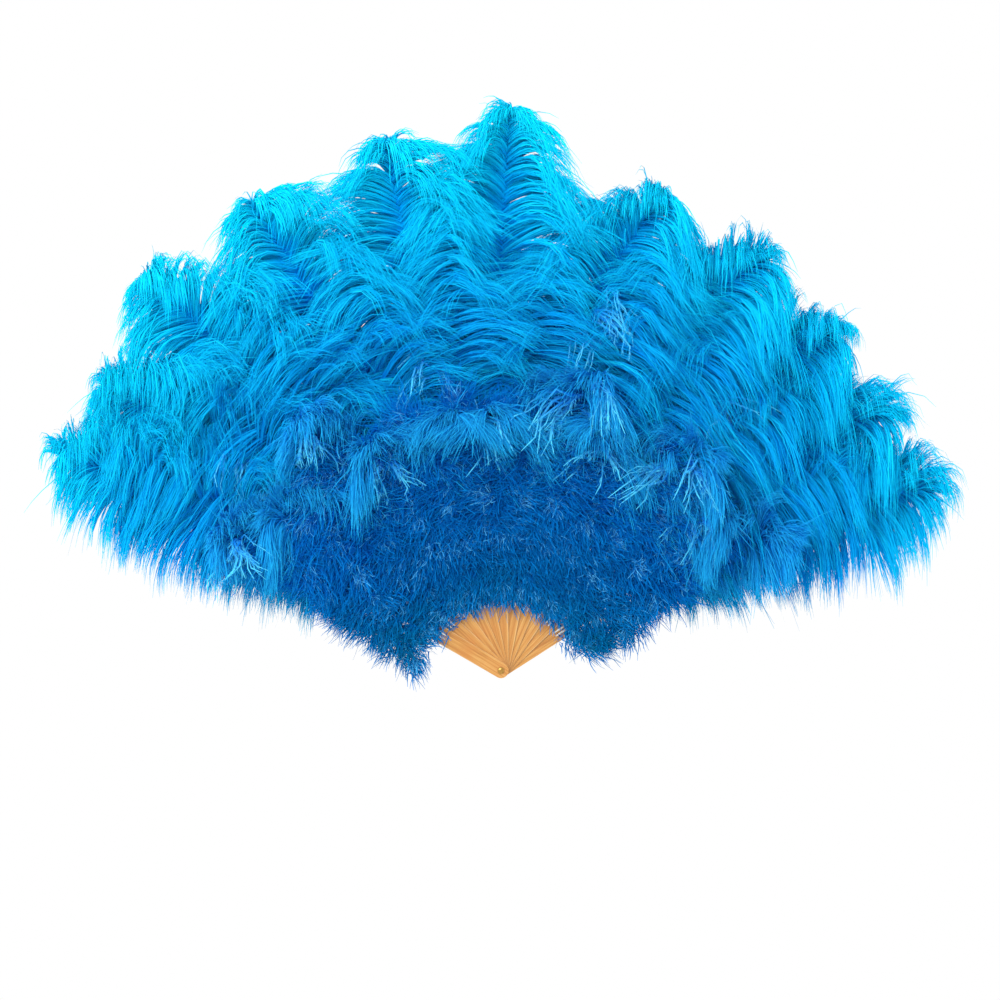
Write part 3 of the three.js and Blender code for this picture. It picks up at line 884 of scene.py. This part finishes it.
def down_origins(layer, rng):
    """Where a stave's bursts stand, the share of the way out to each, and how each is laid."""
    surface = surface_of(f"marabou_{layer + 1:02d}")
    heading, across = ways_of(stave_turns[layer])
    number = np.arange(DOWN_TUFTS)
    share = (number + rng.uniform(0, 1, DOWN_TUFTS)) / DOWN_TUFTS
    outer = abs(2 * layer / (STAVE_COUNT - 1) - 1)
    radius = DOWN_FROM + (DOWN_TO - DOWN_FROM) * share**0.9
    below = math.copysign(1, heading[0])
    lateral = (2 * (number * GOLDEN_SHARE % 1) - 1) * (0.022 + 0.058 * share)
    lateral = np.where(lateral * below > 0, lateral * (1 - 0.9 * outer**4 * share), lateral)
    lateral = lateral + below * 0.038 * outer**8 * (1 - share)
    origins = heading * radius[:, None] + across * lateral[:, None]
    origins[:, 1] = [depth_on(surface, x, z) for x, _, z in origins]
    away = unit((origins - DOWN_HEART) * (1, 0, 1))
    lay = unit(away * 0.6 + DOWN * 0.3 + rng.normal(0, 0.6, (DOWN_TUFTS, 3)) * (1, 0, 1))
    depth = DOME_DEPTH * share**0.7 + rng.uniform(-0.004, 0.01, DOWN_TUFTS) * share
    return origins + FRONT * depth[:, None], share, lay


# %% [markdown]
# Each burst has two kinds of strand. Broad soft ones make the ground, and on top stand fine short
# hairs whose ends are painted lighter as highlights, which show as bright flecks on some bursts and
# hardly at all on others.

# %% Grow the down
GROUND = {
    "strands": 150, "steps": 5, "scatter": 0.0105, "lift": 0.0, "length": 1.0, "outwards": 0.6,
    "spread": 0.55, "lay": 0.9, "kink": 0.16, "half_width": 0.0011, "thinning": 0.00085,
}
HAIR = {
    "strands": 84, "steps": 5, "scatter": 0.0045, "lift": 0.008, "length": 0.62, "outwards": 0.7,
    "spread": 0.8, "lay": 0.7, "kink": 0.38, "half_width": 0.0007, "thinning": 0.0004,
}
# The plane that the down would be pressed onto, which press works out but does not use: how far it
# stands in front of the long plume's shaft, and two distances from the rivet between which it
# follows the shaft
DOWN_LIFT = 0.005
PRESS_LOW, PRESS_HIGH = 0.14, 0.38


def down_strands(name, origins, share, lay, look, rng):
    """One piece with the strands of all bursts of a stave."""
    owner = np.repeat(np.arange(DOWN_TUFTS), look["strands"])
    total = len(owner)
    steps = look["steps"]
    laid = lay[owner] * look["lay"]
    apart = rng.normal(0, look["spread"], (total, 3))
    first = unit(laid * 0.5 + FRONT * look["outwards"] + apart)
    lengths = look["length"] * (0.028 + 0.033 * share[owner]) * rng.uniform(0.5, 1.2, total)
    scatter = rng.normal(0, look["scatter"], (total, 3)) * (1, 0.2, 1)
    path = [origins[owner] + FRONT * look["lift"] + scatter]
    for step in range(1, steps):
        part = step / (steps - 1)
        way = first * (1 - part) + laid * (0.3 + part) + apart * 0.7 * part
        way = unit(way + DOWN * 0.35 * part**2 + rng.normal(0, look["kink"], (total, 3)))
        path.append(path[-1] + way * (lengths / (steps - 1))[:, None])
    paths = kept_in(np.stack(path, axis=1), origins[owner, 1][:, None])
    part = np.linspace(0, 1, steps)
    widths = (look["half_width"] - look["thinning"] * part**0.8)[None, :]
    widths = widths * rng.uniform(0.6, 1.3, (total, 1))
    return strips(name, paths, widths, unit(FRONT + rng.normal(0, 0.6, (total, 3))))


for layer in range(STAVE_COUNT):
    rng = np.random.default_rng(500 + layer)
    origins, share, lay = down_origins(layer, rng)
    down = down_strands(f"down_{layer + 1:02d}", origins, share, lay, GROUND, rng)
    hair = down_strands(f"down_hair_{layer + 1:02d}", origins, share, lay, HAIR, rng)
    settle(down, layer, down_dye_and_light, [f"marabou_{layer + 1:02d}"])
    settle(hair, layer, hair_dye_and_light)
    line = long_lines[layer]
    low, high = (line[nearest(line, radius)] for radius in (PRESS_LOW, PRESS_HIGH))
    for piece in (down, hair):
        press(piece, layer, low + FRONT * DOWN_LIFT, high + FRONT * DOWN_LIFT)
print("triangles in the down of a stave", 2 * (len(down.data.polygons) + len(hair.data.polygons)))

# %% [markdown]
# ## The shafts
# The bare end of a quill is ivory and shines, and two of them show as small bright streaks on each
# stave. Past the stave the shaft takes its barbs' colour, partly dye and partly painted light and
# shade: darker near the rivet and brighter out at its end. It tapers to a thread.

# %% Make the quills and the shafts
# Half the thickness at a quill's thickest place
LONG_QUILL = 0.0024
SHORT_QUILL = 0.0021
QUILL_LIFT = 0.0004


def quill_finish():
    finish = Finish("quill", roughness=0.28, coat_weight=0.3)
    streaks = finish.noise(finish.place(), 300.0)
    # Partly dye, partly painted light and shade: darker near the rivet, brighter at the end
    colour = finish.ramp(finish.length(finish.place()) + (streaks - 0.5) * 0.01, [
        (0.1, dye(250, 246, 232)), (0.126, dye(240, 238, 226)),
        (0.15, dye(4, 100, 180)), (0.9, dye(0, 168, 236)),
    ])
    finish.feed(finish.shader.inputs["Base Color"], colour)
    return finish.material


quill_material = quill_finish()
for layer in range(STAVE_COUNT):
    for lines, thick, label in (
        (long_lines, LONG_QUILL, "long"), (short_lines, SHORT_QUILL, "short")
    ):
        line = lines[layer]
        cut = nearest(line, STAVE_LENGTH)
        radii = np.hypot(line[:, 0], line[:, 2])
        share = (radii - QUILL_START) / (radii[-1] - QUILL_START)
        widths = thick * np.interp(share, [0, 0.015, 0.06, 0.3, 1], [0.35, 0.8, 1, 1, 0.35])
        raised = line + FRONT * QUILL_LIFT
        quill = tube(f"{label}_quill_{layer + 1:02d}", raised[: cut + 1], widths[: cut + 1])
        shaft = tube(f"{label}_shaft_{layer + 1:02d}", line[cut:], widths[cut:])
        settle(quill, layer, quill_material)
        settle(shaft, layer, quill_material)
        press_on_line(shaft, layer, line)

# %% [markdown]
# ## Bamboo
# The staves are split bamboo: straight-grained and honey-coloured, with fine dark fibres and edges
# that are paler in streaks. Each stave has its own direction, so its finish is turned to it.

# %% Finish the bamboo
# Paler edges begin this far from a stave's middle line
PALE_EDGE_FROM = 0.0116


def bamboo_finish(layer):
    finish = Finish(f"bamboo_{layer + 1:02d}", coat_weight=0.15)
    turned = {"vector_type": "TEXTURE"}
    turn = (0, -stave_turns[layer], 0)
    place = finish.node("ShaderNodeMapping", turned, {"Vector": finish.place(), "Rotation": turn})
    fibres = finish.noise(finish.stretch(place, (7.0, 120.0, 420.0)), 1.0, 6.0)
    threads = finish.noise(finish.stretch(place, (16.0, 300.0, 1600.0)), 1.0, 2.0)
    blotches = finish.noise(place, 22.0)
    colour = finish.ramp(fibres, [
        (0.3, dye(178, 112, 48)), (0.46, dye(204, 142, 68)),
        (0.56, dye(214, 156, 80)), (0.75, dye(232, 184, 112)),
    ])
    dark = finish.clamp((0.42 - threads) * 3.0)
    colour = finish.mix(dark, colour, dye(150, 88, 34))
    colour = finish.mix(finish.clamp((blotches - 0.52) * 2.0), colour, dye(206, 130, 60))
    across = finish.part(place, "Z")
    edge = finish.clamp((across.maths("ABSOLUTE", across) - PALE_EDGE_FROM) * 700.0)
    # The edges are paler in streaks along the grain
    pale_edge = edge * finish.clamp((threads - 0.3) * 3.0) * 0.6
    colour = finish.mix(pale_edge, colour, dye(250, 216, 160))
    finish.feed(finish.shader.inputs["Base Color"], colour)
    finish.feed(finish.shader.inputs["Roughness"], 0.34 + (fibres - 0.5) * 0.3)
    finish.bump(fibres + threads * 0.6, 0.0002, 0.6)
    return finish.material


def dress_node(node, material):
    mesh = frame["nodes"][node].data
    mesh.materials.clear()
    mesh.materials.append(material)


for layer in range(STAVE_COUNT):
    dress_node(stave_name(layer), bamboo_finish(layer))

# %% [markdown]
# ## Brass
# The rivet and its washers are turned brass: fine rings round the axis, and blotches of brown
# tarnish.

# %% Finish the brass
def brass_finish():
    finish = Finish("brass", metallic=1.0)
    place = finish.place()
    from_axis = finish.length(finish.stretch(place, (1.0, 0.0, 1.0)))
    rings = finish.uneven(from_axis, 6000.0)
    tarnish = finish.noise(place, 260.0, 5.0)
    colour = finish.mix(finish.clamp((tarnish - 0.4) * 2.5), dye(200, 156, 84), dye(140, 98, 50))
    finish.feed(finish.shader.inputs["Base Color"], colour)
    finish.feed(finish.shader.inputs["Roughness"], 0.24 + tarnish * 0.22)
    finish.bump(rings, 0.00005, 0.5)
    return finish.material


brass = brass_finish()
for node in ("rivet_pin", "front_washer", "rear_washer"):
    dress_node(node, brass)

# %% [markdown]
# ## The link ribbons
# A narrow satin ribbon runs from stave to stave behind the down and stops the fan from opening too
# far. In the real fan it is taut when open and folds up between the staves as it closes; here its
# mesh is cut finer and moves with one stave.


def ribbon_finish():
    finish = Finish("satin", roughness=0.4, sheen_weight=0.3)
    place = finish.place()
    threads = finish.noise(place, 1400.0, 2.0)
    folds = finish.noise(place, 60.0)
    colour = finish.mix(threads, dye(0, 76, 146), dye(20, 120, 196))
    # Painted shade: darker patches stand for the shade in soft folds of the satin
    colour = finish.mix(finish.clamp((folds - 0.5) * 2.0), colour, dye(0, 60, 120))
    finish.feed(finish.shader.inputs["Base Color"], colour)
    finish.bump(threads, 0.0001, 0.4)
    return finish.material


satin = ribbon_finish()
for layer in range(STAVE_COUNT - 1):
    node = f"link_ribbon_{layer + 1:02d}"
    source = bmesh.new()
    source.from_mesh(frame["nodes"][node].data)
    bmesh.ops.remove_doubles(source, verts=source.verts, dist=1e-6)
    bmesh.ops.subdivide_edges(source, edges=source.edges, cuts=6, use_grid_fill=True)
    tangent = ways_of((stave_turns[layer] + stave_turns[layer + 1]) / 2)[1]
    mesh = bpy.data.meshes.new(f"ribbon_{layer + 1:02d}")
    source.to_mesh(mesh)
    source.free()
    piece = new_piece(mesh.name, mesh)
    settle(piece, layer, satin, [node])
    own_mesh(piece)

# %% [markdown]
# ## Light
# The photograph is lit softly from all round, on white. The world looks white to the camera and
# gives a little less light than it shows, and one large lamp stands at the upper left.

# %% Light the scene
WORLD_LIGHT = 0.8
LAMP_SIZE = 2.5
LAMP_POWER = 124
LAMP_PLACE = Vector((-1.6, -3.2, 2.6))
LAMP_TARGET = Vector((0, 0, 0.5))

world = bpy.data.worlds.new("room")
bpy.context.scene.world = world
world.use_nodes = True
sky = world.node_tree.nodes
link = world.node_tree.links.new
rays = sky.new("ShaderNodeLightPath")
plain = sky["Background"]
white = sky.new("ShaderNodeBackground")
for background, strength in ((plain, WORLD_LIGHT), (white, 1.0)):
    background.inputs["Color"].default_value = (1, 1, 1, 1)
    background.inputs["Strength"].default_value = strength
shown = sky.new("ShaderNodeMixShader")
seen = sky.new("ShaderNodeMath")
seen.operation = "MAXIMUM"
link(rays.outputs["Is Camera Ray"], seen.inputs[0])
link(rays.outputs["Is Glossy Ray"], seen.inputs[1])
link(seen.outputs[0], shown.inputs[0])
link(plain.outputs[0], shown.inputs[1])
link(white.outputs[0], shown.inputs[2])
link(shown.outputs[0], sky["World Output"].inputs["Surface"])

key = bpy.data.lights.new("key", "AREA")
key.size = LAMP_SIZE
key.energy = LAMP_POWER
lamp = bpy.data.objects.new("key", key)
lamp.location = LAMP_PLACE
lamp.rotation_euler = (LAMP_TARGET - LAMP_PLACE).to_track_quat("-Z", "Y").to_euler()
bpy.context.scene.collection.objects.link(lamp)

# %% [markdown]
# ## The floor
# A plain pale floor lies under the fan, in front of it and below the picture's edge.

# %% Lay the floor
FLOOR_HALF_SIZE = 3
FLOOR_CENTRE = (0, -2.0, -0.75)

floor_mesh = bpy.data.meshes.new("floor")
bm = bmesh.new()
bmesh.ops.create_grid(bm, x_segments=1, y_segments=1, size=FLOOR_HALF_SIZE)
bmesh.ops.translate(bm, verts=bm.verts, vec=FLOOR_CENTRE)
bm.to_mesh(floor_mesh)
bm.free()
floor = bpy.data.objects.new("floor", floor_mesh)
bpy.context.scene.collection.objects.link(floor)
floor_finish = Finish("floor", roughness=0.9)
floor_finish.shader.inputs["Base Color"].default_value = (0.85, 0.85, 0.85, 1)
floor_mesh.materials.append(floor_finish.material)
bpy.context.scene.view_settings.view_transform = "Standard"
